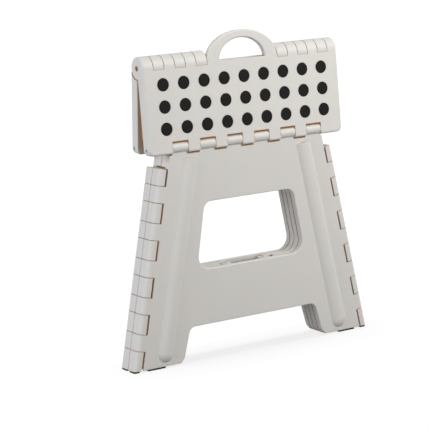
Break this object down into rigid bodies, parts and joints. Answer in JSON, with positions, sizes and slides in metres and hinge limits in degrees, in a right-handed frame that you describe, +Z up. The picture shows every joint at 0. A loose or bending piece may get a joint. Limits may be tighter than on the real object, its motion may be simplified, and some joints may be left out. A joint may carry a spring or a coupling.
{
  "type": "step stool",
  "caption": "Folding plastic step stool, folded flat, with two hinged treads, splayed leg panels with a window, folding side panels, rubber grip dots and a carrying handle.",
  "frame": {"origin": "on the floor below the middle of the folded pack", "axes": "+Z up, +X to the right seen from the front, the front with the handle's tread faces -Y"},
  "size_m": [0.3918, 0.0492, 0.4498],
  "materials": {
    "body": "fine moulded texture, warm off-white",
    "rubber": "matte black",
    "steel": "drawn rod"
  },
  "bodies": {
    "rear_leg": {"rear_leg_panel": "body", "rear_leg_pin": "steel", "rear_leg_feet": "rubber", "left_rear_corner_pin": "steel", "right_rear_corner_pin": "steel"},
    "rear_tread": {"rear_tread": "body", "rear_grip_dots": "rubber"},
    "front_tread": {"front_tread": "body", "front_grip_dots": "rubber", "left_tread_pin": "steel", "right_tread_pin": "steel"},
    "front_leg": {"front_leg_panel": "body", "front_leg_pin": "steel", "front_leg_feet": "rubber", "left_front_corner_pin": "steel", "right_front_corner_pin": "steel"},
    "left_front_side": {"left_front_side_panel": "body", "left_front_side_foot": "rubber"},
    "left_rear_side": {"left_rear_side_panel": "body", "left_rear_side_foot": "rubber", "left_fold_pin": "steel"},
    "right_front_side": {"right_front_side_panel": "body", "right_front_side_foot": "rubber"},
    "right_rear_side": {"right_rear_side_panel": "body", "right_rear_side_foot": "rubber", "right_fold_pin": "steel"}
  },
  "joints": [
    {"name": "tread_hinge", "type": "hinge", "parent": "rear_tread", "child": "front_tread", "pos_m": [0, 0, 0.40956], "axis": [-1, 0, 0], "range_deg": [0, 171.6]},
    {"name": "rear_leg_hinge", "type": "hinge", "parent": "rear_leg", "child": "rear_tread", "pos_m": [0, 0.01604, 0.30044], "axis": [1, 0, 0], "range_deg": [0, 75.8]},
    {"name": "front_leg_hinge", "type": "hinge", "parent": "front_tread", "child": "front_leg", "pos_m": [0, -0.01604, 0.30044], "axis": [1, 0, 0], "range_deg": [0, 75.8]},
    {"name": "left_front_corner", "type": "hinge", "parent": "front_leg", "child": "left_front_side", "pos_m": [-0.1911, -0.01025, 0], "axis": [0.1959, 0, 0.9806], "range_deg": [0, 84]},
    {"name": "right_front_corner", "type": "hinge", "parent": "front_leg", "child": "right_front_side", "pos_m": [0.1911, -0.01025, 0], "axis": [0.1959, 0, -0.9806], "range_deg": [0, 84]},
    {"name": "left_rear_corner", "type": "hinge", "parent": "rear_leg", "child": "left_rear_side", "pos_m": [-0.1911, 0.01025, 0], "axis": [-0.1959, 0, -0.9806], "range_deg": [0, 84]},
    {"name": "right_rear_corner", "type": "hinge", "parent": "rear_leg", "child": "right_rear_side", "pos_m": [0.1911, 0.01025, 0], "axis": [-0.1959, 0, 0.9806], "range_deg": [0, 84]}
  ],
  "couplings": [
    {"joint": "rear_leg_hinge", "follows": "tread_hinge", "ratio": 0.44172},
    {"joint": "front_leg_hinge", "follows": "tread_hinge", "ratio": 0.44172},
    {"joint": "left_front_corner", "follows": "tread_hinge", "ratio": 0.48951},
    {"joint": "right_front_corner", "follows": "tread_hinge", "ratio": 0.48951},
    {"joint": "left_rear_corner", "follows": "tread_hinge", "ratio": 0.48951},
    {"joint": "right_rear_corner", "follows": "tread_hinge", "ratio": 0.48951}
  ]
}
